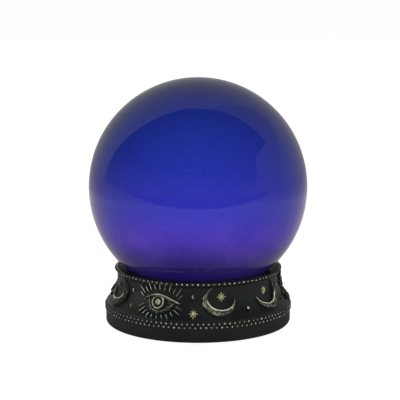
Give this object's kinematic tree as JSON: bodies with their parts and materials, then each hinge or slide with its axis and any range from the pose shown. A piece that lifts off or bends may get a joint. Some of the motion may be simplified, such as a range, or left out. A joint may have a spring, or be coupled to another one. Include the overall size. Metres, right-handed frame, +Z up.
{
  "type": "crystal ball",
  "caption": "Light-up crystal ball: pearly liquid-filled glass globe resting in a black cast ring base with gilded moon, star and eye relief.",
  "frame": {"origin": "centre of the feet on the table, under the globe's centre", "axes": "+Z up through the globe's centre; -Y is the front, where a viewer sees an eye left of centre and a moon just right of it; +X is to that viewer's right"},
  "size_m": [0.12, 0.12, 0.136],
  "materials": {
    "globe_glass": "clear polished blown glass",
    "pearl_liquid": "clear liquid full of blue-violet pearl flakes",
    "plug_rubber": "translucent white rubber",
    "black_resin": "satin black paint on cast resin",
    "seat_rubber": "soft matt silicone",
    "frosted_plastic": "frosted translucent white",
    "circuit_board": "white solder mask",
    "led_package": "white package with a yellow phosphor window",
    "resistor_black": "black film on ceramic",
    "chip_black": "moulded black",
    "black_plastic": "fine textured moulding",
    "door_plastic": "fine textured moulding",
    "switch_housing": "tinned sheet",
    "knob_plastic": "smooth moulding",
    "screw_steel": "zinc plated",
    "foot_foam": "matt foam rubber",
    "wire_red": "smooth insulation",
    "wire_black": "smooth insulation",
    "contact_nickel": "nickel plated spring steel",
    "cell_jacket": "printed sleeve, no markings",
    "bead_gold": "pale antique gold paint worn onto the high points",
    "star_gold": "yellow antique gold paint",
    "antique_gold": "antique gold paint dry-brushed over black"
  },
  "bodies": {
    "base": {"accent_crescents": "antique_gold", "accent_stars": "star_gold", "accent_studs": "antique_gold", "base_casting": "black_resin", "battery_cell_1": "cell_jacket", "battery_cell_2": "cell_jacket", "battery_cell_3": "cell_jacket", "bottom_plate": "black_plastic", "contact_link_back": "contact_nickel", "contact_link_front": "contact_nickel", "contact_negative": "contact_nickel", "contact_positive": "contact_nickel", "contact_springs": "contact_nickel", "controller_chip": "chip_black", "diffuser_dish": "frosted_plastic", "eye_balls": "antique_gold", "eye_irises": "antique_gold", "eye_lower_lids": "antique_gold", "eye_rays": "antique_gold", "eye_upper_lids": "antique_gold", "foot_bead_row_lower": "bead_gold", "foot_bead_row_upper": "bead_gold", "foot_pads": "foot_foam", "led_board": "circuit_board", "leds": "led_package", "moon_stars": "star_gold", "moons_open_left": "antique_gold", "moons_open_right": "antique_gold", "plate_screws": "screw_steel", "resistors": "resistor_black", "rim_bead_row": "bead_gold", "switch_body": "switch_housing", "switch_lugs": "contact_nickel", "wire_battery_to_switch": "wire_red", "wire_board_to_battery": "wire_black", "wire_switch_to_board": "wire_red"},
    "seat": {"seat_ring": "seat_rubber"},
    "globe": {"globe_shell": "globe_glass", "globe_plug": "plug_rubber", "pearl_liquid": "pearl_liquid"},
    "switch": {"switch_knob": "knob_plastic"},
    "door": {"battery_door": "door_plastic", "door_screw": "screw_steel"}
  },
  "joints": [
    {"name": "globe_spin", "type": "hinge", "parent": "base", "child": "seat", "pos_m": [0, 0, 0.076], "axis": [0, 0, 1], "continuous": true},
    {"name": "globe_lift", "type": "slide", "parent": "seat", "child": "globe", "axis": [0, 0, 1], "range_m": [0, 0.06]},
    {"name": "switch_slide", "type": "slide", "parent": "base", "child": "switch", "axis": [0, 1, 0], "range_m": [0, 0.003]},
    {"name": "battery_door_swing", "type": "hinge", "parent": "base", "child": "door", "pos_m": [0, -0.0263, 0.0016], "axis": [-1, 0, 0], "range_deg": [0, 60]}
  ]
}
